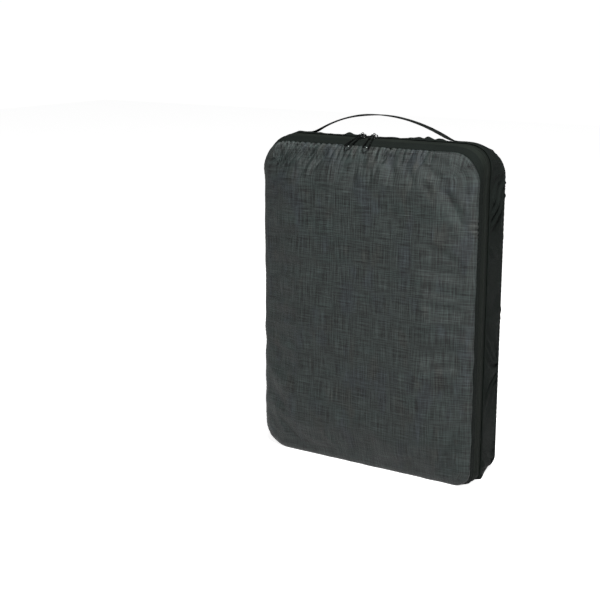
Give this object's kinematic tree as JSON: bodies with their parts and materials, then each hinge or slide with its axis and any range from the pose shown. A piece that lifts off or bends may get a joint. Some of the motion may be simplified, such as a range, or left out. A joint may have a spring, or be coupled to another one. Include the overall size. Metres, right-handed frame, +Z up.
{
  "type": "packing cube",
  "caption": "Large soft packing cube that stands on its base, with a fold-down zipped front, two sliders with loop pulls and a webbing top handle.",
  "frame": {"origin": "on the floor, under the middle of the case", "axes": "+Z up through the zipped top, +X to the case's right seen from the front, front panel facing -Y"},
  "size_m": [0.26, 0.0803, 0.3807],
  "materials": {
    "shell_fabric": "slub-woven polyester, dark slate melange",
    "trim_fabric": "plain-woven polyester strip",
    "zip_tape": "ribbed woven zip tape",
    "webbing": "narrow polyester webbing",
    "zip_coil": "nylon coil",
    "slider_metal": "black coated zinc alloy"
  },
  "bodies": {
    "case": {"back_panel": "shell_fabric", "rear_gusset": "trim_fabric", "base_gusset": "trim_fabric", "rear_zip_tape": "zip_tape", "rear_zip_coil": "zip_coil", "back_seam_binding": "trim_fabric", "base_seam_binding_left": "trim_fabric", "base_seam_binding_right": "trim_fabric", "zip_end_tab_left": "trim_fabric", "zip_end_tab_right": "trim_fabric", "zip_stop_left": "slider_metal", "zip_stop_right": "slider_metal", "handle_end_left": "webbing", "handle_end_right": "webbing"},
    "lid": {"front_panel": "shell_fabric", "front_gusset": "trim_fabric", "front_zip_tape": "zip_tape", "front_zip_coil": "zip_coil", "front_seam_binding": "trim_fabric"},
    "handle": {"handle_webbing": "webbing"},
    "slider_left": {"slider_left_body": "slider_metal", "slider_left_bridge": "slider_metal"},
    "link_left": {"pull_link_left": "slider_metal"},
    "pull_left": {"pull_loop_left": "slider_metal"},
    "slider_right": {"slider_right_body": "slider_metal", "slider_right_bridge": "slider_metal"},
    "link_right": {"pull_link_right": "slider_metal"},
    "pull_right": {"pull_loop_right": "slider_metal"}
  },
  "joints": [
    {"name": "lid_fold", "type": "hinge", "parent": "case", "child": "lid", "pos_m": [0, -0.031, 0], "axis": [1, 0, 0], "range_deg": [0, 180]},
    {"name": "handle_sway", "type": "hinge", "parent": "case", "child": "handle", "pos_m": [0, 0.003, 0.3621], "axis": [1, 0, 0], "range_deg": [-65, 65], "stiffness_Nm_per_rad": 0.004},
    {"name": "slider_left_run", "type": "slide", "parent": "case", "child": "slider_left", "axis": [-1, 0, 0], "range_m": [0, 0.0785]},
    {"name": "pull_left_lean", "type": "hinge", "parent": "slider_left", "child": "link_left", "pos_m": [-0.015, -0.014, 0.36015], "axis": [0, 1, 0], "range_deg": [0, 20]},
    {"name": "pull_left_lift", "type": "hinge", "parent": "link_left", "child": "pull_left", "pos_m": [-0.015, -0.0159, 0.36015], "axis": [-1, 0, 0], "range_deg": [0, 130]},
    {"name": "slider_right_run", "type": "slide", "parent": "case", "child": "slider_right", "axis": [1, 0, 0], "range_m": [0, 0.0945]},
    {"name": "pull_right_lean", "type": "hinge", "parent": "slider_right", "child": "link_right", "pos_m": [-0.001, -0.014, 0.36015], "axis": [0, 1, 0], "range_deg": [-15, 10]},
    {"name": "pull_right_lift", "type": "hinge", "parent": "link_right", "child": "pull_right", "pos_m": [-0.001, -0.0159, 0.36015], "axis": [-1, 0, 0], "range_deg": [0, 130]}
  ]
}
